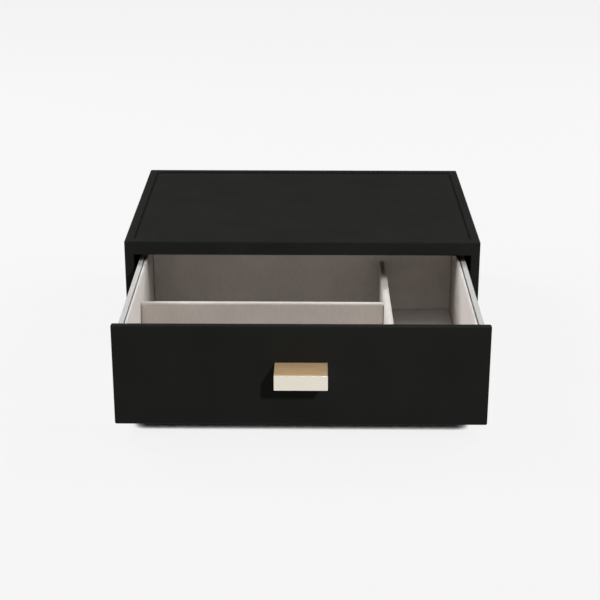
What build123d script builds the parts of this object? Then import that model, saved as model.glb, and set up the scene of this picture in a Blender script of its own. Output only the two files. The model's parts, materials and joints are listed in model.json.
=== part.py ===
from build123d import *
import os

# Low jewellery and cufflink box: a covered board cabinet, open at the front,
# and one inset drawer with three velvet-lined compartments and a block pull.
#
# Millimetres. X to the right, Y to the back (the drawer opens towards -Y), Z up.
# Origin: centre of the cabinet's underside, on the surface it stands on.
# The drawer is modelled pulled out, as it stands in use.

# ---------------------------------------------------------------- dimensions
# cabinet
width = 250.0
depth = 183.0
height = 85.0
skin = 0.6                 # leatherette cover
wall = 6.2                 # side wall seen from the front, cover and lining included
lining_paper = 0.4         # black paper inside the bay
rail_bottom = 75.0         # underside of the front rail = top of the opening
sill_top = 6.2             # bay floor = bottom of the opening
felt = 1.0                 # felt sheet under the base
board = 5.2                # carcass boards
edge_radius = 1.2          # outer edges of the covered cabinet

# inset top panel
top_groove = 0.35          # groove between the rim and the panel
top_recess = 1.2           # the panel lies this far below the rim
top_board_thickness = 5.0

# drawer
open_by = 131.5            # front face of the drawer ahead of the cabinet's front
front_width = 236.4
front_low = 6.7
front_high = 74.3
front_thickness = 4.6
turn_in = 10.0             # cover folded onto the back of the drawer front
tray_width = 230.0
tray_depth = 175.0         # front face of the drawer to the back of the tray
tray_board = 3.2
tray_low = 7.3             # underside of the tray, on the glide strips
tray_bottom_thickness = 3.0
tray_top = 70.6
lining = 2.5               # velvet over padded card
lining_gap = 0.2
lining_top = 70.4
pad_top = 21.0
divider_top = 57.7
long_divider_x = 58.0
long_divider_thickness = 5.0
cross_divider_thickness = 5.6
cross_divider_v = 84.0     # its middle, behind the drawer's front face
touch = 0.05               # glue line between soft pieces

# pull
pull_width = 33.2
pull_height = 10.0
pull_reach = 20.6
pull_z = 44.8
screw_spacing = 18.0
screw_radius = 1.5
screw_head_radius = 2.9
screw_head_height = 1.6
screw_depth = 9.0          # thread inside the pull

# ---------------------------------------------------------------- derived
x_out = width / 2
y_front = -depth / 2
y_back = depth / 2
x_core = x_out - skin                    # outer face of the wall boards
x_board = x_core - board                 # inner face of the wall boards
x_bay = x_out - wall                     # inner face of the bay lining
y_core_front = y_front + skin
y_core_back = y_back - skin
y_back_board = y_core_back - board       # inner face of the back board
y_bay_back = y_back_board - lining_paper
z_core_top = height - skin
z_base = sill_top - skin                 # top of the base board
z_rail = rail_bottom + lining_paper      # underside of the rail board
y_rail_back = y_core_front + board

x_top = x_bay - top_groove               # edge of the covered top panel
y_top = y_back - wall - top_groove
z_top = height - top_recess              # face of the top panel
z_top_board = z_top - skin - top_board_thickness


def at(v):
    """Y of a point v behind the drawer's front face."""
    return y_front - open_by + v


x_tray = tray_width / 2
x_tray_in = x_tray - tray_board
x_lining = x_tray_in - lining_gap
x_room = x_lining - lining               # inner face of the side linings
v_tray = front_thickness                 # the tray starts behind the drawer front
v_tray_in = v_tray + tray_board
v_lining = v_tray_in + lining_gap
v_room = v_lining + lining               # inner face of the front lining
w_tray = tray_depth
w_tray_in = w_tray - tray_board
w_lining = w_tray_in - lining_gap
w_room = w_lining - lining               # inner face of the back lining
v_cross = cross_divider_v
z_floor = tray_low + tray_bottom_thickness

os.makedirs("parts", exist_ok=True)


def save(piece, name):
    piece.label = name
    export_step(piece, "parts/" + name + ".step")


# ================================================================= cabinet
# Leatherette cover: outside of both walls, the back, the rim of the top, and the
# face around the opening, with the strip turned under the front rail.
with BuildPart() as cabinet_wrap:
    with BuildSketch(Plane.XY.offset(felt)):
        Rectangle(width, depth)
    extrude(amount=height - felt)
    fillet(cabinet_wrap.edges().filter_by(Axis.Z), radius=edge_radius)
    fillet(cabinet_wrap.faces().sort_by(Axis.Z)[-1].edges(), radius=edge_radius)
    # hollow for the boards, rounded to match
    with BuildPart(mode=Mode.PRIVATE) as hollow:
        with BuildSketch(Plane.XY.offset(felt - 1)):
            Rectangle(2 * x_core, 2 * y_core_back)
        extrude(amount=z_core_top - felt + 1)
        fillet(hollow.edges().filter_by(Axis.Z), radius=edge_radius - skin)
        fillet(hollow.faces().sort_by(Axis.Z)[-1].edges(), radius=edge_radius - skin)
    add(hollow.part, mode=Mode.SUBTRACT)
    # the rim leaves the top open for the inset panel
    with BuildSketch(Plane.XY.offset(height - 3)):
        Rectangle(2 * x_bay, depth - 2 * wall)
    extrude(amount=6, mode=Mode.SUBTRACT)
    # drawer opening
    with BuildSketch(Plane.XZ.offset(-y_front + 1)):
        with Locations((0, (sill_top + rail_bottom) / 2)):
            Rectangle(2 * x_bay, rail_bottom - sill_top)
    extrude(amount=-(skin + 2), mode=Mode.SUBTRACT)
    # cover turned under the rail
    with BuildSketch(Plane.XY.offset(rail_bottom)):
        with Locations((0, (y_front + y_rail_back) / 2)):
            Rectangle(2 * x_bay, y_rail_back - y_front)
    extrude(amount=lining_paper)
save(cabinet_wrap.part, "cabinet_wrap")

# Boards. The outer corners are eased so that the cover bends round them.
with BuildPart() as left_wall:
    with BuildSketch(Plane.XY.offset(z_base)):
        with Locations((-(x_core + x_board) / 2, 0)):
            Rectangle(board, 2 * y_core_back)
    extrude(amount=z_core_top - z_base)
    fillet(left_wall.edges().filter_by(Axis.Z).group_by(Axis.X)[0], radius=edge_radius - skin)
    fillet(left_wall.faces().sort_by(Axis.Z)[-1].edges().sort_by(Axis.X)[0], radius=edge_radius - skin)
save(left_wall.part, "left_wall")

with BuildPart() as right_wall:
    add(mirror(left_wall.part, about=Plane.YZ, mode=Mode.PRIVATE))
save(right_wall.part, "right_wall")

with BuildPart() as back_wall:
    with BuildSketch(Plane.XY.offset(z_base)):
        with Locations((0, (y_core_back + y_back_board) / 2)):
            Rectangle(2 * x_board, board)
    extrude(amount=z_core_top - z_base)
    fillet(back_wall.faces().sort_by(Axis.Z)[-1].edges().sort_by(Axis.Y)[-1], radius=edge_radius - skin)
save(back_wall.part, "back_wall")

with BuildPart() as base_board:
    with BuildSketch(Plane.XY.offset(felt)):
        Rectangle(2 * x_core, 2 * y_core_back)
    extrude(amount=z_base - felt)
    fillet(base_board.edges().filter_by(Axis.Z), radius=edge_radius - skin)
save(base_board.part, "base_board")

with BuildPart() as front_rail:
    with BuildSketch(Plane.XY.offset(z_rail)):
        with Locations((0, (y_core_front + y_rail_back) / 2)):
            Rectangle(2 * x_board, y_rail_back - y_core_front)
    extrude(amount=z_core_top - z_rail)
    fillet(front_rail.faces().sort_by(Axis.Z)[-1].edges().sort_by(Axis.Y)[0], radius=edge_radius - skin)
save(front_rail.part, "front_rail")

# Inset top panel: a board with its own cover, resting on two cleats.
with BuildPart() as top_board:
    with BuildSketch(Plane.XY.offset(z_top_board)):
        Rectangle(2 * (x_top - skin), 2 * (y_top - skin))
    extrude(amount=top_board_thickness)
save(top_board.part, "top_board")

with BuildPart() as top_wrap:
    with BuildSketch(Plane.XY.offset(z_top_board)):
        Rectangle(2 * x_top, 2 * y_top)
    extrude(amount=top_board_thickness + skin)
    fillet(top_wrap.faces().sort_by(Axis.Z)[-1].edges(), radius=0.5)
    with BuildSketch(Plane.XY.offset(z_top_board)):
        Rectangle(2 * (x_top - skin), 2 * (y_top - skin))
    extrude(amount=top_board_thickness, mode=Mode.SUBTRACT)
save(top_wrap.part, "top_wrap")

with BuildPart() as top_cleats:
    with BuildSketch(Plane.XY.offset(z_rail)):
        with Locations((-(x_board - 4), (y_rail_back + y_back_board) / 2),
                       (x_board - 4, (y_rail_back + y_back_board) / 2)):
            Rectangle(8, y_back_board - y_rail_back - 2)
    extrude(amount=z_top_board - z_rail)
save(top_cleats.part, "top_cleats")

# Black paper linings of the bay.
with BuildPart() as bay_lining_left:
    with BuildSketch(Plane.XY.offset(sill_top)):
        with Locations((-(x_board + x_bay) / 2, (y_core_front + y_back_board) / 2)):
            Rectangle(x_board - x_bay, y_back_board - y_core_front)
    extrude(amount=rail_bottom - sill_top)
save(bay_lining_left.part, "bay_lining_left")

with BuildPart() as bay_lining_right:
    add(mirror(bay_lining_left.part, about=Plane.YZ, mode=Mode.PRIVATE))
save(bay_lining_right.part, "bay_lining_right")

with BuildPart() as bay_lining_back:
    with BuildSketch(Plane.XY.offset(sill_top)):
        with Locations((0, (y_bay_back + y_back_board) / 2)):
            Rectangle(2 * x_bay, lining_paper)
    extrude(amount=rail_bottom - sill_top)
save(bay_lining_back.part, "bay_lining_back")

with BuildPart() as bay_lining_floor:
    with BuildSketch(Plane.XY.offset(z_base)):
        with Locations((0, (y_core_front + y_back_board) / 2)):
            Rectangle(2 * x_board, y_back_board - y_core_front)
    extrude(amount=sill_top - z_base)
save(bay_lining_floor.part, "bay_lining_floor")

with BuildPart() as bay_lining_top:
    with BuildSketch(Plane.XY.offset(z_top_board - lining_paper)):
        with Locations((0, (y_rail_back + y_back_board) / 2)):
            Rectangle(2 * (x_board - 8.5), y_back_board - y_rail_back - 2)
    extrude(amount=lining_paper)
save(bay_lining_top.part, "bay_lining_top")

# Guides that keep the narrower tray centred, and low-friction strips under it.
guide_length = 150.0
with BuildPart() as left_guide:
    with BuildSketch(Plane.XY.offset(sill_top)):
        with Locations((-(x_bay + x_tray + 0.3) / 2, y_front + 8 + guide_length / 2)):
            Rectangle(x_bay - x_tray - 0.3, guide_length)
    extrude(amount=10)
    fillet(left_guide.edges().filter_by(Axis.Z).group_by(Axis.Y)[0].sort_by(Axis.X)[-1], radius=2.0)
    fillet(left_guide.faces().sort_by(Axis.Z)[-1].edges().filter_by(Axis.Y).sort_by(Axis.X)[-1], radius=1.0)
save(left_guide.part, "left_guide")

with BuildPart() as right_guide:
    add(mirror(left_guide.part, about=Plane.YZ, mode=Mode.PRIVATE))
save(right_guide.part, "right_guide")

glide_height = tray_low - sill_top - 0.1
with BuildPart() as glide_strips:
    with BuildSketch(Plane.XY.offset(sill_top)):
        with Locations((-98, y_front + 6 + 80), (98, y_front + 6 + 80)):
            RectangleRounded(9, 160, 3)
    extrude(amount=glide_height)
save(glide_strips.part, "glide_strips")

# Felt dots that the tray meets when it is shut.
bumper_thickness = y_bay_back - (y_front + tray_depth) - 0.1
with BuildPart() as rear_bumpers:
    with BuildSketch(Plane.XZ.offset(-(y_bay_back - bumper_thickness))):
        with Locations((-80, 38), (80, 38)):
            Circle(5)
    extrude(amount=-bumper_thickness)
save(rear_bumpers.part, "rear_bumpers")

with BuildPart() as base_felt:
    with BuildSketch():
        RectangleRounded(width - 5, depth - 5, 2)
    extrude(amount=felt)
save(base_felt.part, "base_felt")

# ================================================================= drawer
front_mid = (front_low + front_high) / 2
front_tall = front_high - front_low

with BuildPart() as drawer_front_board:
    with BuildSketch(Plane.XZ.offset(-at(skin))):
        with Locations((0, front_mid)):
            Rectangle(front_width - 2 * skin, front_tall - 2 * skin)
    extrude(amount=-(front_thickness - skin - lining_paper))
    fillet(drawer_front_board.faces().sort_by(Axis.Y)[0].edges(), radius=edge_radius - skin)
    with BuildSketch(Plane.XZ.offset(-at(-1))):
        with Locations((-screw_spacing / 2, pull_z), (screw_spacing / 2, pull_z)):
            Circle(screw_radius + 0.1)
    extrude(amount=-10, mode=Mode.SUBTRACT)
save(drawer_front_board.part, "drawer_front_board")

# Cover of the drawer front, folded over its four edges onto the back.
with BuildPart() as drawer_front_wrap:
    with BuildSketch(Plane.XZ.offset(-at(0))):
        with Locations((0, front_mid)):
            Rectangle(front_width, front_tall)
    extrude(amount=-front_thickness)
    fillet(drawer_front_wrap.faces().sort_by(Axis.Y)[0].edges(), radius=edge_radius)
    fillet(drawer_front_wrap.edges().filter_by(Axis.Y), radius=0.5)
    with BuildPart(mode=Mode.PRIVATE) as front_hollow:
        with BuildSketch(Plane.XZ.offset(-at(skin))):
            with Locations((0, front_mid)):
                Rectangle(front_width - 2 * skin, front_tall - 2 * skin)
        extrude(amount=-(front_thickness - skin - lining_paper))
        fillet(front_hollow.faces().sort_by(Axis.Y)[0].edges(), radius=edge_radius - skin)
    add(front_hollow.part, mode=Mode.SUBTRACT)
    with BuildSketch(Plane.XZ.offset(-at(front_thickness / 2))):
        with Locations((0, front_mid)):
            Rectangle(front_width - 2 * turn_in, front_tall - 2 * turn_in)
    extrude(amount=-front_thickness, mode=Mode.SUBTRACT)
    with BuildSketch(Plane.XZ.offset(-at(-1))):
        with Locations((-screw_spacing / 2, pull_z), (screw_spacing / 2, pull_z)):
            Circle(screw_radius + 0.1)
    extrude(amount=-2.5, mode=Mode.SUBTRACT)
save(drawer_front_wrap.part, "drawer_front_wrap")

# Tray: four paper-covered boards round a bottom.
tray_length = w_tray - v_tray
with BuildPart() as tray_left:
    with BuildSketch(Plane.XY.offset(tray_low)):
        with Locations((-(x_tray + x_tray_in) / 2, at(v_tray + tray_length / 2))):
            Rectangle(tray_board, tray_length)
    extrude(amount=tray_top - tray_low)
    fillet(tray_left.faces().sort_by(Axis.Z)[-1].edges().filter_by(Axis.Y), radius=0.4)
save(tray_left.part, "tray_left")

with BuildPart() as tray_right:
    add(mirror(tray_left.part, about=Plane.YZ, mode=Mode.PRIVATE))
save(tray_right.part, "tray_right")

with BuildPart() as tray_back:
    with BuildSketch(Plane.XY.offset(tray_low)):
        with Locations((0, at((w_tray + w_tray_in) / 2))):
            Rectangle(2 * x_tray_in, tray_board)
    extrude(amount=tray_top - tray_low)
    fillet(tray_back.faces().sort_by(Axis.Z)[-1].edges().filter_by(Axis.X), radius=0.4)
save(tray_back.part, "tray_back")

with BuildPart() as tray_front:
    with BuildSketch(Plane.XY.offset(tray_low)):
        with Locations((0, at((v_tray + v_tray_in) / 2))):
            Rectangle(2 * x_tray_in, tray_board)
    extrude(amount=tray_top - tray_low)
    with BuildSketch(Plane.XZ.offset(-at(v_tray - 1))):
        with Locations((-screw_spacing / 2, pull_z), (screw_spacing / 2, pull_z)):
            Circle(screw_radius + 0.1)
    extrude(amount=-6, mode=Mode.SUBTRACT)
    # countersinks for the screw heads
    with BuildSketch(Plane.XZ.offset(-at(v_tray_in))) as sink_wide:
        with Locations((-screw_spacing / 2, pull_z), (screw_spacing / 2, pull_z)):
            Circle(screw_head_radius + 0.1)
    with BuildSketch(Plane.XZ.offset(-at(v_tray_in - screw_head_height))) as sink_narrow:
        with Locations((-screw_spacing / 2, pull_z), (screw_spacing / 2, pull_z)):
            Circle(screw_radius + 0.1)
    for wide, narrow in zip(sink_wide.sketch.faces().sort_by(Axis.X),
                            sink_narrow.sketch.faces().sort_by(Axis.X)):
        loft(sections=[wide, narrow], mode=Mode.SUBTRACT)
save(tray_front.part, "tray_front")

with BuildPart() as tray_bottom:
    with BuildSketch(Plane.XY.offset(tray_low)):
        with Locations((0, at((v_tray_in + w_tray_in) / 2))):
            Rectangle(2 * x_tray_in, w_tray_in - v_tray_in)
    extrude(amount=tray_bottom_thickness)
save(tray_bottom.part, "tray_bottom")

# Velvet linings, rounded along the top.
lining_length = w_lining - v_lining
with BuildPart() as lining_left:
    with BuildSketch(Plane.XY.offset(z_floor)):
        with Locations((-(x_lining + x_room) / 2, at(v_lining + lining_length / 2))):
            Rectangle(lining, lining_length)
    extrude(amount=lining_top - z_floor)
    fillet(lining_left.faces().sort_by(Axis.Z)[-1].edges().filter_by(Axis.Y).sort_by(Axis.X)[-1], radius=1.4)
    fillet(lining_left.faces().sort_by(Axis.Z)[-1].edges().filter_by(Axis.Y).sort_by(Axis.X)[0], radius=0.7)
save(lining_left.part, "lining_left")

with BuildPart() as lining_right:
    add(mirror(lining_left.part, about=Plane.YZ, mode=Mode.PRIVATE))
save(lining_right.part, "lining_right")

with BuildPart() as lining_front:
    with BuildSketch(Plane.XY.offset(z_floor)):
        with Locations((0, at((v_lining + v_room) / 2))):
            Rectangle(2 * (x_room - touch), lining)
    extrude(amount=lining_top - z_floor)
    fillet(lining_front.faces().sort_by(Axis.Z)[-1].edges().filter_by(Axis.X).sort_by(Axis.Y)[-1], radius=1.4)
    fillet(lining_front.faces().sort_by(Axis.Z)[-1].edges().filter_by(Axis.X).sort_by(Axis.Y)[0], radius=0.7)
save(lining_front.part, "lining_front")

with BuildPart() as lining_back:
    with BuildSketch(Plane.XY.offset(z_floor)):
        with Locations((0, at((w_lining + w_room) / 2))):
            Rectangle(2 * (x_room - touch), lining)
    extrude(amount=lining_top - z_floor)
    fillet(lining_back.faces().sort_by(Axis.Z)[-1].edges().filter_by(Axis.X).sort_by(Axis.Y)[0], radius=1.4)
    fillet(lining_back.faces().sort_by(Axis.Z)[-1].edges().filter_by(Axis.X).sort_by(Axis.Y)[-1], radius=0.7)
save(lining_back.part, "lining_back")

# Dividers: padded card, velvet covered, with a full round top.
x_long_l = long_divider_x - long_divider_thickness / 2
x_long_r = long_divider_x + long_divider_thickness / 2
with BuildPart() as long_divider:
    with BuildSketch(Plane.XY.offset(z_floor)):
        with Locations((long_divider_x, at((v_room + w_room) / 2))):
            Rectangle(long_divider_thickness, w_room - v_room - 2 * touch)
    extrude(amount=divider_top - z_floor)
    fillet(long_divider.faces().sort_by(Axis.Z)[-1].edges().filter_by(Axis.Y), radius=1.8)
save(long_divider.part, "long_divider")

with BuildPart() as cross_divider:
    with BuildSketch(Plane.XY.offset(z_floor)):
        with Locations(((-x_room + x_long_l) / 2, at(v_cross))):
            Rectangle(x_long_l + x_room - 2 * touch, cross_divider_thickness)
    extrude(amount=divider_top - z_floor)
    fillet(cross_divider.faces().sort_by(Axis.Z)[-1].edges().filter_by(Axis.X), radius=1.8)
save(cross_divider.part, "cross_divider")

# Padded floors of the three compartments.
pad_gap = 0.3


def pad(x_low, x_high, v_low, v_high, name):
    with BuildPart() as floor_pad:
        with BuildSketch(Plane.XY.offset(z_floor)):
            with Locations(((x_low + x_high) / 2, at((v_low + v_high) / 2))):
                RectangleRounded(x_high - x_low - 2 * pad_gap, v_high - v_low - 2 * pad_gap, 1.5)
        extrude(amount=pad_top - z_floor)
        fillet(floor_pad.faces().sort_by(Axis.Z)[-1].edges(), radius=1.4)
    save(floor_pad.part, name)


half_cross = cross_divider_thickness / 2
pad(x_long_r, x_room, v_room, w_room, "floor_pad_right")
pad(-x_room, x_long_l, v_cross + half_cross, w_room, "floor_pad_rear_left")
pad(-x_room, x_long_l, v_room, v_cross - half_cross, "floor_pad_front_left")

# Block pull and its two screws, put in from inside the tray.
with BuildPart() as pull:
    with BuildSketch(Plane.XZ.offset(-at(0))):
        with Locations((0, pull_z)):
            Rectangle(pull_width, pull_height)
    extrude(amount=pull_reach)
    fillet(pull.edges().filter_by(Axis.Y), radius=0.5)
    fillet(pull.faces().sort_by(Axis.Y)[0].edges(), radius=0.45)
    with BuildSketch(Plane.XZ.offset(-at(0))):
        with Locations((-screw_spacing / 2, pull_z), (screw_spacing / 2, pull_z)):
            Circle(screw_radius + 0.02)
    extrude(amount=screw_depth + 1, mode=Mode.SUBTRACT)
save(pull.part, "pull")

with BuildPart() as pull_screws:
    with BuildSketch(Plane.XZ.offset(-at(v_tray_in - 0.1))):
        with Locations((-screw_spacing / 2, pull_z), (screw_spacing / 2, pull_z)):
            Circle(screw_radius)
    extrude(amount=v_tray_in - 0.1 + screw_depth)
    with BuildSketch(Plane.XZ.offset(-at(v_tray_in - 0.1))) as head_wide:
        with Locations((-screw_spacing / 2, pull_z), (screw_spacing / 2, pull_z)):
            Circle(screw_head_radius)
    with BuildSketch(Plane.XZ.offset(-at(v_tray_in - 0.1 - screw_head_height + 0.1))) as head_narrow:
        with Locations((-screw_spacing / 2, pull_z), (screw_spacing / 2, pull_z)):
            Circle(screw_radius)
    for wide, narrow in zip(head_wide.sketch.faces().sort_by(Axis.X),
                            head_narrow.sketch.faces().sort_by(Axis.X)):
        loft(sections=[wide, narrow])
    # cross recesses
    with BuildSketch(Plane.XZ.offset(-at(v_tray_in))) as recess:
        with Locations((-screw_spacing / 2, pull_z), (screw_spacing / 2, pull_z)):
            Rectangle(3.0, 0.6)
            Rectangle(0.6, 3.0)
    extrude(recess.sketch, amount=0.9, mode=Mode.SUBTRACT)
save(pull_screws.part, "pull_screws")

print("tray inside", 2 * x_room, "x", w_room - v_room, "engaged", tray_depth - open_by)
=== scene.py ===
import bpy
import json
import math
import numpy as np
from mathutils import Matrix, Vector


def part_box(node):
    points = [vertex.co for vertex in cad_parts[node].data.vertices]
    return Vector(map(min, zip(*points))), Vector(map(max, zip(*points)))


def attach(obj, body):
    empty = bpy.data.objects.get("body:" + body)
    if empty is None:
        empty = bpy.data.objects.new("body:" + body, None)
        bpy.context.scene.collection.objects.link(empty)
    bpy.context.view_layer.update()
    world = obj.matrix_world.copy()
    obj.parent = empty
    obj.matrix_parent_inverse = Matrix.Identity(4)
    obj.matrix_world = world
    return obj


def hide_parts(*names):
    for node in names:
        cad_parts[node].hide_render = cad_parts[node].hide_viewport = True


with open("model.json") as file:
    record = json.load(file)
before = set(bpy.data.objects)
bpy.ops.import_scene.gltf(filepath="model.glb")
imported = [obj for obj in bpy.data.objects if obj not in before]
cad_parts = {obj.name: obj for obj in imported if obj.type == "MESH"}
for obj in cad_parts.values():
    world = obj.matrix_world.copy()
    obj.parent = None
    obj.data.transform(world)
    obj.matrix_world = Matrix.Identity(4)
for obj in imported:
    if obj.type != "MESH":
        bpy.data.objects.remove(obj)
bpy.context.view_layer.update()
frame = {"nodes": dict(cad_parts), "record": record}
scene = bpy.context.scene
MM = 0.001


# ------------------------------------------------------------------ materials
class Nodes:
    """A small helper to write a node material in a few lines."""

    def __init__(self, name):
        self.mat = bpy.data.materials.new(name)
        self.mat.use_nodes = True
        self.tree = self.mat.node_tree
        self.tree.nodes.clear()
        self.out = self.tree.nodes.new("ShaderNodeOutputMaterial")
        self.bsdf = self.tree.nodes.new("ShaderNodeBsdfPrincipled")
        self.tree.links.new(self.bsdf.outputs[0], self.out.inputs["Surface"])
        self.coord = self.tree.nodes.new("ShaderNodeTexCoord")

    def set(self, **values):
        for key, value in values.items():
            socket = self.bsdf.inputs[key.replace("_", " ")]
            socket.default_value = (*value, 1.0) if isinstance(value, tuple) and len(value) == 3 else value
        return self

    def node(self, kind, **props):
        n = self.tree.nodes.new(kind)
        for key, value in props.items():
            if key in n.bl_rna.properties and key != "inputs":
                setattr(n, key, value)
        return n

    def link(self, a, b):
        self.tree.links.new(a, b)

    def mapped(self, scale=(1, 1, 1), rotation=(0, 0, 0)):
        m = self.node("ShaderNodeMapping")
        m.inputs["Scale"].default_value = scale
        m.inputs["Rotation"].default_value = rotation
        self.link(self.coord.outputs["Object"], m.inputs["Vector"])
        return m.outputs["Vector"]

    def noise(self, vector, scale, detail=3.0, rough=0.55, distortion=0.0):
        n = self.node("ShaderNodeTexNoise")
        n.inputs["Scale"].default_value = scale
        n.inputs["Detail"].default_value = detail
        n.inputs["Roughness"].default_value = rough
        n.inputs["Distortion"].default_value = distortion
        self.link(vector, n.inputs["Vector"])
        return n.outputs["Fac"]

    def cells(self, vector, scale, feature="SMOOTH_F1", smooth=0.5, randomness=1.0):
        n = self.node("ShaderNodeTexVoronoi", feature=feature)
        n.inputs["Scale"].default_value = scale
        n.inputs["Randomness"].default_value = randomness
        if feature == "SMOOTH_F1":
            n.inputs["Smoothness"].default_value = smooth
        self.link(vector, n.inputs["Vector"])
        return n.outputs["Distance"]

    def remap(self, value, low, high, to_low, to_high):
        n = self.node("ShaderNodeMapRange")
        n.inputs["From Min"].default_value = low
        n.inputs["From Max"].default_value = high
        n.inputs["To Min"].default_value = to_low
        n.inputs["To Max"].default_value = to_high
        self.link(value, n.inputs["Value"])
        return n.outputs["Result"]

    def add(self, a, b, wa=1.0, wb=1.0):
        def scaled(x, w):
            if w == 1.0:
                return x
            m = self.node("ShaderNodeMath", operation="MULTIPLY")
            self.link(x, m.inputs[0])
            m.inputs[1].default_value = w
            return m.outputs[0]
        n = self.node("ShaderNodeMath", operation="ADD")
        self.link(scaled(a, wa), n.inputs[0])
        self.link(scaled(b, wb), n.inputs[1])
        return n.outputs[0]

    def ramp(self, value, *stops):
        n = self.node("ShaderNodeValToRGB")
        e = n.color_ramp.elements
        e[0].position, e[0].color = stops[0][0], (*stops[0][1], 1)
        e[1].position, e[1].color = stops[-1][0], (*stops[-1][1], 1)
        for pos, colour in stops[1:-1]:
            x = e.new(pos)
            x.color = (*colour, 1)
        self.link(value, n.inputs["Fac"])
        return n.outputs["Color"]

    def blend(self, factor, one, two):
        n = self.node("ShaderNodeMix", data_type="RGBA")
        self.link(factor, n.inputs[0])
        self.link(one, n.inputs[6])
        self.link(two, n.inputs[7])
        return n.outputs[2]

    def bump(self, height, strength, distance):
        n = self.node("ShaderNodeBump")
        n.inputs["Strength"].default_value = strength
        n.inputs["Distance"].default_value = distance
        self.link(height, n.inputs["Height"])
        self.link(n.outputs["Normal"], self.bsdf.inputs["Normal"])
        return n

    def colour(self, output):
        self.link(output, self.bsdf.inputs["Base Color"])

    def rough(self, output):
        self.link(output, self.bsdf.inputs["Roughness"])


def scale3(c, k):
    return tuple(x * k for x in c)


def leatherette(name, base=(0.0124, 0.0129, 0.0115), rough=0.52, specular=0.06):
    m = Nodes(name)
    v = m.mapped()
    grain = m.cells(v, 1300, smooth=0.55)
    fine = m.noise(v, 5200, detail=2.0)
    broad = m.noise(v, 26, detail=4.0)
    m.colour(m.ramp(m.add(broad, grain, 0.8, 0.2), (0.30, scale3(base, 0.88)), (0.70, scale3(base, 1.14))))
    m.rough(m.remap(m.add(grain, m.noise(v, 240, 3.0), 0.6, 0.6), 0.2, 0.9, rough - 0.06, rough + 0.08))
    m.bump(m.add(grain, fine, 1.0, 0.25), 0.34, 0.00010)
    m.set(Specular_IOR_Level=specular)
    return m.mat


def velvet(name, base=(0.745, 0.700, 0.664)):
    m = Nodes(name)
    v = m.mapped()
    pile = m.noise(v, 2600, detail=2.0, rough=0.7)
    nap = m.noise(v, 38, detail=3.0, rough=0.5, distortion=0.6)
    tuft = m.noise(m.mapped((1, 1, 0.35)), 620, detail=3.0, rough=0.6)
    mixed = m.add(m.add(pile, nap, 0.40, 0.35), tuft, 1.0, 0.25)
    m.colour(m.ramp(mixed, (0.36, scale3(base, 0.88)), (0.62, scale3(base, 1.06))))
    m.rough(m.remap(nap, 0.3, 0.7, 0.88, 0.98))
    m.bump(m.add(m.add(pile, tuft, 0.8, 0.5), nap, 1.0, 0.3), 0.42, 0.00018)
    m.set(Specular_IOR_Level=0.10, Sheen_Weight=0.12, Sheen_Roughness=0.45, Sheen_Tint=(1.0, 0.97, 0.94))
    return m.mat


def covering_paper(name, base=(0.56, 0.56, 0.555), contrast=0.09):
    m = Nodes(name)
    v = m.mapped()
    fibre = m.noise(v, 1500, detail=4.0, rough=0.75)
    cloud = m.noise(v, 120, detail=3.0)
    both = m.add(fibre, cloud, 0.7, 0.3)
    m.colour(m.ramp(both, (0.36, scale3(base, 1 - contrast)), (0.62, scale3(base, 1 + contrast))))
    m.rough(m.remap(fibre, 0.3, 0.7, 0.70, 0.88))
    m.bump(both, 0.25, 0.00010)
    m.set(Specular_IOR_Level=0.25)
    return m.mat


def black_paper_painted_shade(name):
    m = Nodes(name)
    v = m.mapped()
    fibre = m.noise(v, 1100, detail=4.0, rough=0.7)
    # near-black tone, darker than the black cover: black paper deepened with painted shade of the bay inside the
    # cabinet
    m.colour(m.ramp(fibre, (0.3, (0.0025, 0.0025, 0.0025)), (0.7, (0.0055, 0.0055, 0.0052))))
    m.rough(m.remap(fibre, 0.3, 0.7, 0.86, 0.97))
    m.bump(fibre, 0.3, 0.00008)
    m.set(Specular_IOR_Level=0.08)
    return m.mat


def fibreboard(name):
    m = Nodes(name)
    v = m.mapped((1, 1, 1))
    fibre = m.noise(m.mapped((0.6, 0.6, 2.2)), 700, detail=6.0, rough=0.8)
    fleck = m.cells(v, 900, smooth=0.2)
    m.colour(m.ramp(m.add(fibre, fleck, 0.7, 0.4), (0.3, (0.30, 0.21, 0.13)), (0.55, (0.44, 0.33, 0.22)), (0.8, (0.55, 0.43, 0.30))))
    m.rough(m.remap(fibre, 0.3, 0.7, 0.78, 0.95))
    m.bump(fibre, 0.4, 0.00012)
    return m.mat


def felt_cloth(name, base=(0.016, 0.016, 0.017)):
    m = Nodes(name)
    v = m.mapped()
    fibre = m.noise(v, 1800, detail=5.0, rough=0.8, distortion=1.5)
    tuft = m.noise(v, 260, detail=3.0)
    m.colour(m.ramp(m.add(fibre, tuft, 0.6, 0.4), (0.32, scale3(base, 0.6)), (0.68, scale3(base, 1.5))))
    m.rough(m.remap(fibre, 0.3, 0.7, 0.90, 1.0))
    m.bump(m.add(fibre, tuft, 1.0, 0.5), 0.7, 0.00025)
    m.set(Specular_IOR_Level=0.1, Sheen_Weight=0.25, Sheen_Roughness=0.6)
    return m.mat


def glide_plastic(name):
    m = Nodes(name)
    v = m.mapped((1, 0.05, 1))
    wear = m.noise(v, 900, detail=4.0)
    m.colour(m.ramp(wear, (0.3, (0.030, 0.030, 0.031)), (0.7, (0.055, 0.055, 0.056))))
    m.rough(m.remap(wear, 0.3, 0.7, 0.32, 0.55))
    m.bump(wear, 0.15, 0.00004)
    return m.mat


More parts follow.
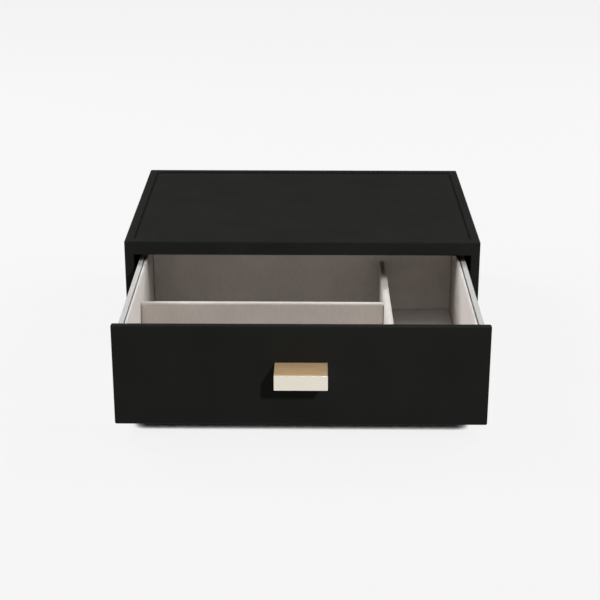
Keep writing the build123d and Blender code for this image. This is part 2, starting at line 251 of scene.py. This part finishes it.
def champagne(name, pale=(0.835, 0.790, 0.675), painted_shade_colour=(0.780, 0.540, 0.295), painted_highlight_colour=(0.985, 0.960, 0.905)):
    """Plated block, brushed all over: the faces looking up and down are rougher, less metallic and carry a deeper tone
    that is painted shade, the other faces are plain, and the eased edges carry a near-white painted highlight.
    """
    m = Nodes(name)
    brush = m.noise(m.mapped((0.030, 1, 1)), 3600, detail=4.0, rough=0.65)
    broad = m.noise(m.mapped((0.25, 1, 1)), 210, detail=3.0)
    both = m.add(brush, broad, 0.55, 0.45)
    # deeper tone for the faces looking up and down: painted shade
    top_bottom_painted_shade = m.ramp(both, (0.32, scale3(painted_shade_colour, 0.84)), (0.68, scale3(painted_shade_colour, 1.10)))
    plain = m.ramp(both, (0.30, scale3(pale, 0.975)), (0.70, scale3(pale, 1.02)))
    # near-white tone for the eased edges: painted highlight
    edge_painted_highlight = m.ramp(both, (0.30, scale3(painted_highlight_colour, 0.98)), (0.70, painted_highlight_colour))
    size = m.node("ShaderNodeVectorMath", operation="ABSOLUTE")
    m.link(m.coord.outputs["Normal"], size.inputs[0])
    parts = m.node("ShaderNodeSeparateXYZ")
    m.link(size.outputs[0], parts.inputs[0])
    top = m.remap(parts.outputs["Z"], 0.93, 0.985, 0.0, 1.0)
    most = m.node("ShaderNodeMath", operation="MAXIMUM")
    m.link(parts.outputs["X"], most.inputs[0])
    m.link(parts.outputs["Y"], most.inputs[1])
    flat = m.node("ShaderNodeMath", operation="MAXIMUM")
    m.link(most.outputs[0], flat.inputs[0])
    m.link(parts.outputs["Z"], flat.inputs[1])
    # mask of the eased edges, which take the painted highlight
    edge = m.remap(flat.outputs[0], 0.90, 0.985, 1.0, 0.0)
    m.colour(m.blend(edge, m.blend(top, plain, top_bottom_painted_shade), edge_painted_highlight))
    m.rough(m.remap(m.add(top, both, 1.0, 0.35), 0.0, 1.25, 0.26, 0.50))
    m.bump(brush, 0.12, 0.00003)
    m.link(m.remap(top, 0.0, 1.0, 0.84, 0.49), m.bsdf.inputs["Metallic"])
    return m.mat


def zinc(name):
    m = Nodes(name)
    v = m.mapped()
    haze = m.noise(v, 900, detail=4.0)
    m.colour(m.ramp(haze, (0.3, (0.50, 0.51, 0.53)), (0.7, (0.66, 0.66, 0.66))))
    m.rough(m.remap(haze, 0.3, 0.7, 0.24, 0.42))
    m.bump(haze, 0.1, 0.00003)
    m.set(Metallic=1.0)
    return m.mat


MAT = {
    "leatherette": leatherette("leatherette_black"),
    "velvet": velvet("velvet_warm_grey"),
    "grey_paper": covering_paper("paper_light_grey"),
    "carcass_board": fibreboard("fibreboard_raw"),
    "bay_paper": black_paper_painted_shade("paper_black_painted_shade"),
    "felt": felt_cloth("felt_black"),
    "nylon": glide_plastic("glide_strip_plastic"),
    "gold_metal": champagne("champagne_metal"),
    "steel": zinc("zinc_plate"),
}
for part in frame["record"]["subparts"]:
    node = frame["nodes"].get(part["node"])
    if node is None:
        continue
    node.data.materials.clear()
    node.data.materials.append(MAT[part["material_slot"]])


# ------------------------------------------------------------------ mesh tools
def lines(low, high, r, rounds=4, inner=6, extra=()):
    """Grid lines along one axis in mm: close together inside the rounded edge, then evenly spaced, with any extra lines asked for."""
    edge = [r * (1 - math.tan(math.radians(45 * (1 - k / rounds)))) for k in range(rounds + 1)]
    span = [low + r + (high - low - 2 * r) * k / inner for k in range(1, inner)]
    keep = [x for x in span if all(abs(x - e) > 0.35 for e in extra)]
    mid = sorted(keep + list(extra))
    return [low + e for e in edge] + mid + [high - e for e in reversed(edge)]


def rounded_block(low, high, r, rounds=4, inner=(6, 6, 6), extra=((), (), ()), skip=None, shape=None):
    """Vertices (mm) and quads of a box with rounded edges. skip(face, a0, a1, b0, b1) leaves a cell out; shape(points, normals) moves the surface."""
    grid = [lines(low[a], high[a], r, rounds, inner[a], extra[a]) for a in range(3)]
    top = [len(g) - 1 for g in grid]
    index, verts, quads = {}, [], []

    def vertex(key):
        if key not in index:
            index[key] = len(verts)
            verts.append([grid[a][key[a]] for a in range(3)])
        return index[key]

    for a in range(3):
        b, c = (a + 1) % 3, (a + 2) % 3
        for side in (0, 1):
            level = top[a] if side else 0
            for i in range(top[b]):
                for j in range(top[c]):
                    if skip and skip((a, side), grid[b][i], grid[b][i + 1], grid[c][j], grid[c][j + 1]):
                        continue
                    corner = []
                    for di, dj in ((0, 0), (1, 0), (1, 1), (0, 1)):
                        key = [0, 0, 0]
                        key[a], key[b], key[c] = level, i + di, j + dj
                        corner.append(vertex(tuple(key)))
                    quads.append(corner if side else corner[::-1])
    p = np.array(verts, float)
    lo, hi = np.array(low, float) + r, np.array(high, float) - r
    c = np.minimum(np.maximum(p, lo), hi)
    d = p - c
    length = np.linalg.norm(d, axis=1, keepdims=True)
    n = d / np.maximum(length, 1e-9)
    p = c + n * r
    if shape is not None:
        p = shape(p, n)
    return p, quads


def piece(name, points, quads, material, body, weighted=True):
    """A mesh object from points in mm, riding on a body."""
    mesh = bpy.data.meshes.new(name)
    mesh.from_pydata([tuple(q * MM for q in p) for p in points], [], [list(q) for q in quads])
    mesh.validate()
    mesh.update()
    for f in mesh.polygons:
        f.use_smooth = True
    ob = bpy.data.objects.new(name, mesh)
    scene.collection.objects.link(ob)
    ob.data.materials.append(material)
    if weighted:
        w = ob.modifiers.new("normals", "WEIGHTED_NORMAL")
        w.keep_sharp = True
        w.weight = 80
    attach(ob, body)
    return ob


def turn_in(points, quads, axis, level, rect, r, depth, steps=4):
    """Adds the rounded edge and the turned-in strip round a rectangular hole. The hole's edge on the face lies r outside rect, and depth is signed along the axis."""
    b, c = (axis + 1) % 3, (axis + 2) % 3
    (b0, b1), (c0, c1) = rect
    pts = [list(map(float, p)) for p in points]
    faces = [list(q) for q in quads]
    on = {}
    for i, p in enumerate(pts):
        if abs(p[axis] - level) > 1e-4:
            continue
        in_b = b0 - r - 1e-4 <= p[b] <= b1 + r + 1e-4
        in_c = c0 - r - 1e-4 <= p[c] <= c1 + r + 1e-4
        edge_b = min(abs(p[b] - (b0 - r)), abs(p[b] - (b1 + r))) < 1e-4
        edge_c = min(abs(p[c] - (c0 - r)), abs(p[c] - (c1 + r))) < 1e-4
        if in_b and in_c and (edge_b or edge_c):
            on[i] = None
    # ordered loop from the border edges of the hole
    count = {}
    for q in faces:
        for k in range(4):
            e = (q[k], q[(k + 1) % 4])
            count[e] = count.get(e, 0) + 1
    border = {a: b_ for (a, b_) in count if (b_, a) not in count and a in on and b_ in on}
    start = next(iter(border))
    loop = [start]
    while border[loop[-1]] != start:
        loop.append(border[loop[-1]])
    sign = 1 if depth > 0 else -1
    rings = [loop]
    stations = [(r * math.sin(math.radians(90 * k / steps)), sign * r * (1 - math.cos(math.radians(90 * k / steps)))) for k in range(1, steps + 1)]
    stations.append((r, depth))
    for inward, down in stations:
        ring = []
        for i in loop:
            p = list(pts[i])
            if abs(p[b] - (b0 - r)) < 1e-4:
                p[b] += inward
            elif abs(p[b] - (b1 + r)) < 1e-4:
                p[b] -= inward
            if abs(p[c] - (c0 - r)) < 1e-4:
                p[c] += inward
            elif abs(p[c] - (c1 + r)) < 1e-4:
                p[c] -= inward
            p[axis] = level + down
            ring.append(len(pts))
            pts.append(p)
        rings.append(ring)
    n = len(loop)
    for one, two in zip(rings, rings[1:]):
        for k in range(n):
            faces.append([one[(k + 1) % n], one[k], two[k], two[(k + 1) % n]])
    return pts, faces


def cad(node):
    """Lowest and highest corner of a CAD node in mm."""
    low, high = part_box(node)
    return [v / MM for v in low], [v / MM for v in high]


# ------------------------------------------------------------------ cabinet cover
# One continuous sheet over the walls, back, rim and face of the opening.
cab_low, cab_high = cad("cabinet_wrap")
W2, D2, H = cab_high[0], cab_high[1], cab_high[2]
bay_low, bay_high = cad("bay_lining_left")
BAY_X, SILL, RAIL = -bay_high[0], bay_low[2], bay_high[2]
pan_low, pan_high = cad("top_wrap")
ER = 1.25                 # outer edges
OR_ = 0.8                 # edges of the opening
RR = 0.55                 # inside edge of the rim
open_x, open_lo, open_hi = BAY_X - 0.2, SILL + 0.15, RAIL - 0.2
rim_x, rim_y = BAY_X, D2 - (W2 - BAY_X)


def cabinet_skip(face, a0, a1, b0, b1):
    axis, side = face
    if axis == 1 and side == 0:      # front: (z, x) cells
        return (open_lo - OR_ - 1e-3 <= a0 and a1 <= open_hi + OR_ + 1e-3
                and -open_x - OR_ - 1e-3 <= b0 and b1 <= open_x + OR_ + 1e-3)
    if axis == 2 and side == 1:      # top: (x, y) cells
        return (-rim_x - RR - 1e-3 <= a0 and a1 <= rim_x + RR + 1e-3
                and -rim_y - RR - 1e-3 <= b0 and b1 <= rim_y + RR + 1e-3)
    if axis == 2 and side == 0:      # underside: a strip is folded under
        return -114 <= a0 and a1 <= 114 and -80 <= b0 and b1 <= 80
    return False


def cabinet_shape(p, n):
    # cover pulled over board: sides a hair slack between the edges
    q = p.copy()
    u = np.clip(1 - (p[:, 1] / (D2 - 4)) ** 2, 0, 1) * np.clip(1 - ((p[:, 2] - 43) / 38) ** 2, 0, 1)
    q[:, 0] -= np.sign(p[:, 0]) * 0.12 * u * (np.abs(n[:, 0]) > 0.99)
    w = np.clip(1 - (p[:, 0] / (W2 - 4)) ** 2, 0, 1) * np.clip(1 - ((p[:, 2] - 43) / 38) ** 2, 0, 1)
    q[:, 1] -= 0.12 * w * (n[:, 1] > 0.99)
    return q


pts, quads = rounded_block(
    (-W2, -D2, 0.96), (W2, D2, H), ER, rounds=4, inner=(10, 8, 6),
    extra=((-open_x - OR_, open_x + OR_, -rim_x - RR, rim_x + RR, -114, 114),
           (-rim_y - RR, rim_y + RR, -80, 80),
           (open_lo - OR_, open_hi + OR_)),
    skip=cabinet_skip, shape=cabinet_shape)
pts, quads = turn_in(pts, quads, 1, -D2, ((open_lo, open_hi), (-open_x, open_x)), OR_, 4.6)
pts, quads = turn_in(pts, quads, 2, H, ((-rim_x, rim_x), (-rim_y, rim_y)), RR, -6.0)
cover = piece("cabinet_cover", pts, quads, MAT["leatherette"], "cabinet")
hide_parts("cabinet_wrap")

# inset top panel: leatherette over board, its edges eased into the groove
TX, TY, TZ = pan_high[0] + 0.32, pan_high[1] + 0.32, pan_high[2]


def panel_shape(p, n):
    q = p.copy()
    crown = np.clip(1 - (p[:, 0] / TX) ** 4, 0, 1) * np.clip(1 - (p[:, 1] / TY) ** 4, 0, 1)
    q[:, 2] += 0.08 * crown * (n[:, 2] > 0.99)
    return q


pts, quads = rounded_block((-TX, -TY, pan_low[2]), (TX, TY, TZ), 0.30, rounds=4, inner=(24, 18, 2),
                           skip=lambda f, *c: f == (2, 0), shape=panel_shape)
panel = piece("top_panel_cover", pts, quads, MAT["leatherette"], "cabinet")
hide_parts("top_wrap")

# ------------------------------------------------------------------ drawer front cover
front_low, front_high = cad("drawer_front_wrap")
FRONT = front_low[1]             # drawer front face at rest
FX, FZ0, FZ1 = front_high[0], front_low[2], front_high[2]


def at(v):
    return FRONT + v


def front_shape(p, n):
    q = p.copy()
    mid, half = (FZ0 + FZ1) / 2, (FZ1 - FZ0) / 2
    crown = np.clip(1 - (p[:, 0] / FX) ** 4, 0, 1) * np.clip(1 - ((p[:, 2] - mid) / half) ** 4, 0, 1)
    q[:, 1] -= 0.10 * crown * (n[:, 1] < -0.99)
    return q


pts, quads = rounded_block((-FX, FRONT + 0.1, FZ0), (FX, front_high[1], FZ1), 1.1, rounds=5, inner=(24, 2, 10), shape=front_shape)
front = piece("drawer_front_cover", pts, quads, MAT["leatherette"], "drawer")
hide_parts("drawer_front_wrap")

# ------------------------------------------------------------------ velvet pieces
def soft_waves(p, seed, size):
    """Small smooth unevenness, the same each run."""
    s = np.zeros(len(p))
    for k in range(4):
        a = seed * 1.7 + k * 2.3
        s += np.sin(p[:, 0] / (23 + 7 * k) + a) * np.sin(p[:, 1] / (19 + 5 * k) + 1.3 * a) * np.sin(p[:, 2] / (17 + 6 * k) + 0.7 * a)
    return s * size / 2


def padded_side(axis, sign, centre, half, thick, seed):
    """Shape function: the face that looks inwards (axis, sign) swells between its edges."""
    others = [i for i in range(3) if i != axis]

    def shape(p, n):
        q = p.copy()
        k = np.ones(len(p))
        for o in others:
            k *= np.clip(1 - np.abs((p[:, o] - centre[o]) / half[o]) ** 6, 0, 1)
        face = np.clip(sign * n[:, axis], 0, 1)
        q[:, axis] += sign * face * (thick * k + soft_waves(p, seed, 0.10) * k)
        return q
    return shape


def block_of(name, low, high, r, inner, shape, nodes, body="drawer", mat="velvet", rounds=5):
    pts, quads = rounded_block(low, high, r, rounds=rounds, inner=inner, shape=shape)
    ob = piece(name, pts, quads, MAT[mat], body)
    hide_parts(*nodes)
    return ob


BULGE = 0.55              # the padding of the linings
SLOT = 0.55               # the linings stand this far off the tray boards
for side, nm in ((-1, "left"), (1, "right")):
    low, high = cad("lining_" + nm)
    centre = [(a + b) / 2 for a, b in zip(low, high)]
    half = [(b - a) / 2 for a, b in zip(low, high)]
    if side < 0:
        low[0], high[0] = low[0] + SLOT, high[0] - 0.30
    else:
        low[0], high[0] = low[0] + 0.30, high[0] - SLOT
    block_of("velvet_lining_" + nm, low, high, 0.92, (2, 26, 12),
             padded_side(0, -side, centre, half, BULGE, 1.0 + side), ["lining_" + nm])
for side, nm in ((-1, "back"), (1, "front")):
    low, high = cad("lining_" + nm)
    centre = [(a + b) / 2 for a, b in zip(low, high)]
    half = [(b - a) / 2 for a, b in zip(low, high)]
    if side < 0:
        low[1], high[1] = low[1] + 0.30, high[1] - SLOT
    else:
        low[1], high[1] = low[1] + SLOT, high[1] - 0.30
    block_of("velvet_lining_" + nm, low, high, 0.92, (34, 2, 12),
             padded_side(1, side, centre, half, BULGE, 3.0 + side), ["lining_" + nm])


def divider_shape(axis, centre, half, seed):
    others = [i for i in range(3) if i != axis]

    def shape(p, n):
        q = p.copy()
        k = np.ones(len(p))
        for o in others:
            k *= np.clip(1 - np.abs((p[:, o] - centre[o]) / half[o]) ** 6, 0, 1)
        q[:, axis] += n[:, axis] * (0.25 * k + soft_waves(p, seed, 0.08) * k)
        # the top edge is not ruler-straight
        q[:, 2] += np.clip(n[:, 2], 0, 1) * soft_waves(p, seed + 2, 0.14)
        return q
    return shape


for nm, axis, inner, seed in (("long_divider", 0, (2, 26, 10), 5.0), ("cross_divider", 1, (28, 2, 10), 7.0)):
    low, high = cad(nm)
    centre = [(a + b) / 2 for a, b in zip(low, high)]
    half = [(b - a) / 2 for a, b in zip(low, high)]
    low[axis], high[axis] = low[axis] + 0.2, high[axis] - 0.2
    block_of("velvet_" + nm, low, high, 1.8, inner, divider_shape(axis, centre, half, seed), [nm])


def pillow(low, high, seed):
    cx, cy = (low[0] + high[0]) / 2, (low[1] + high[1]) / 2
    hx, hy = (high[0] - low[0]) / 2, (high[1] - low[1]) / 2

    def shape(p, n):
        q = p.copy()
        kx = np.clip(1 - np.abs((p[:, 0] - cx) / hx) ** 4, 0, 1)
        ky = np.clip(1 - np.abs((p[:, 1] - cy) / hy) ** 4, 0, 1)
        q[:, 2] += np.clip(n[:, 2], 0, 1) * (0.7 * kx * ky + soft_waves(p, seed, 0.12))
        return q
    return shape


for nm, seed in (("right", 11.0), ("rear_left", 13.0), ("front_left", 17.0)):
    low, high = cad("floor_pad_" + nm)
    high[2] -= 0.7
    block_of("velvet_floor_pad_" + nm, low, high, 1.5, (20, 20, 3), pillow(low, high, seed), ["floor_pad_" + nm])

# ------------------------------------------------------------------ pull
low, high = cad("pull")
pts, quads = rounded_block(low, high, 0.38, rounds=3, inner=(8, 6, 4), skip=lambda f, *c: f == (1, 1))
pull = piece("pull_block", pts, quads, MAT["gold_metal"], "drawer")
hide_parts("pull")

# ------------------------------------------------------------------ floor, lights, camera
FLOOR_GLOW = 0.865         # the sweep glows evenly, apart from the box's own light and the painted contact shadow under the box
FLOOR_WHITE = 0.06
floor_mesh = bpy.data.meshes.new("floor")
s = 8.0
floor_mesh.from_pydata([(-s, -s, -0.0002), (s, -s, -0.0002), (s, s, -0.0002), (-s, s, -0.0002)], [], [(0, 1, 2, 3)])
floor = bpy.data.objects.new("floor", floor_mesh)
scene.collection.objects.link(floor)
fm = bpy.data.materials.new("floor_white")
fm.use_nodes = True
ft = fm.node_tree
ft.nodes.clear()
f_out = ft.nodes.new("ShaderNodeOutputMaterial")
f_sum = ft.nodes.new("ShaderNodeAddShader")
f_dif = ft.nodes.new("ShaderNodeBsdfDiffuse")
f_emi = ft.nodes.new("ShaderNodeEmission")
f_dif.inputs["Color"].default_value = (FLOOR_WHITE, FLOOR_WHITE, FLOOR_WHITE, 1)
f_emi.inputs["Color"].default_value = (1, 1, 1, 1)
# painted contact shadow: the glow fades under anything that stands close over the floor
f_painted_contact_shadow = ft.nodes.new("ShaderNodeAmbientOcclusion")
f_painted_contact_shadow.samples = 64
f_painted_contact_shadow.inputs["Distance"].default_value = 0.018
f_map = ft.nodes.new("ShaderNodeMapRange")
f_map.inputs["From Min"].default_value = 0.200
f_map.inputs["From Max"].default_value = 0.250
f_map.inputs["To Min"].default_value = 0.0
f_map.inputs["To Max"].default_value = FLOOR_GLOW
ft.links.new(f_painted_contact_shadow.outputs["AO"], f_map.inputs["Value"])
f_ray = ft.nodes.new("ShaderNodeLightPath")
f_dim = ft.nodes.new("ShaderNodeMapRange")
f_dim.inputs["To Min"].default_value = 1.0
f_dim.inputs["To Max"].default_value = 0.12
ft.links.new(f_ray.outputs["Is Diffuse Ray"], f_dim.inputs["Value"])
f_mul = ft.nodes.new("ShaderNodeMath")
f_mul.operation = "MULTIPLY"
ft.links.new(f_map.outputs["Result"], f_mul.inputs[0])
ft.links.new(f_dim.outputs["Result"], f_mul.inputs[1])
ft.links.new(f_mul.outputs[0], f_emi.inputs["Strength"])
ft.links.new(f_dif.outputs[0], f_sum.inputs[0])
ft.links.new(f_emi.outputs[0], f_sum.inputs[1])
ft.links.new(f_sum.outputs[0], f_out.inputs["Surface"])
floor_mesh.materials.append(fm)

world = bpy.data.worlds.new("studio")
scene.world = world
world.use_nodes = True
world.node_tree.nodes["Background"].inputs["Color"].default_value = (1, 1, 1, 1)
world.node_tree.nodes["Background"].inputs["Strength"].default_value = 0.02


def area(name, place, target, size, power, colour=(1, 1, 1), size_y=None):
    data = bpy.data.lights.new(name, "AREA")
    data.energy = power
    data.color = colour
    data.shape = "RECTANGLE"
    data.size = size
    data.size_y = size_y or size
    ob = bpy.data.objects.new(name, data)
    scene.collection.objects.link(ob)
    ob.location = place
    ob.rotation_euler = (Vector(target) - Vector(place)).to_track_quat("-Z", "Y").to_euler()
    return ob


middle = (0, -0.12, 0.05)
area("front_softbox", (0.0, -0.95, 1.35), middle, 0.6, 1.6)
area("top_softbox", (0.0, -0.20, 1.35), middle, 0.5, 1.7)
area("left_softbox", (-1.35, -0.12, 0.80), middle, 0.5, 9.0)
area("right_softbox", (1.35, -0.12, 0.80), middle, 0.5, 8.6)
area("back_left_softbox", (-0.90, 0.70, 1.05), middle, 0.5, 12.2)
area("back_right_softbox", (0.90, 0.70, 1.05), middle, 0.5, 9.8)
# a small key light for the covered outside only, flagged off the velvet inside
key_dir = Vector((0.320, -0.765, 0.555)).normalized()
key = area("key", Vector((0, -0.23, 0.045)) + key_dir * 1.6, (0, -0.20, 0.045), 0.10, 17.5)
outside = bpy.data.collections.new("key_receivers")
for ob in (cover, panel, front, pull):
    outside.objects.link(ob)
key.light_linking.receiver_collection = outside

cam_data = bpy.data.cameras.new("camera")
cam = bpy.data.objects.new("camera", cam_data)
scene.collection.objects.link(cam)
cam_data.sensor_fit = "HORIZONTAL"
cam_data.sensor_width = 36.0
cam_data.lens = 1447.0 / 600.0 * 36.0
cam_data.clip_start = 0.05
cam_data.clip_end = 50
pitch, yaw, roll = math.radians(20.97), math.radians(-0.366), math.radians(0.060)
forward = Vector((math.sin(yaw) * math.cos(pitch), math.cos(yaw) * math.cos(pitch), -math.sin(pitch)))
right = Vector((math.cos(yaw), -math.sin(yaw), 0))
up = right.cross(forward)
right2 = math.cos(roll) * right + math.sin(roll) * up
up2 = -math.sin(roll) * right + math.cos(roll) * up
turn = Matrix((right2, up2, -forward)).transposed()
cam.matrix_world = Matrix.Translation((0.00464, -1.05217, 0.4094)) @ turn.to_4x4()
scene.camera = cam
scene.view_settings.view_transform = "Standard"
scene.view_settings.look = "None"
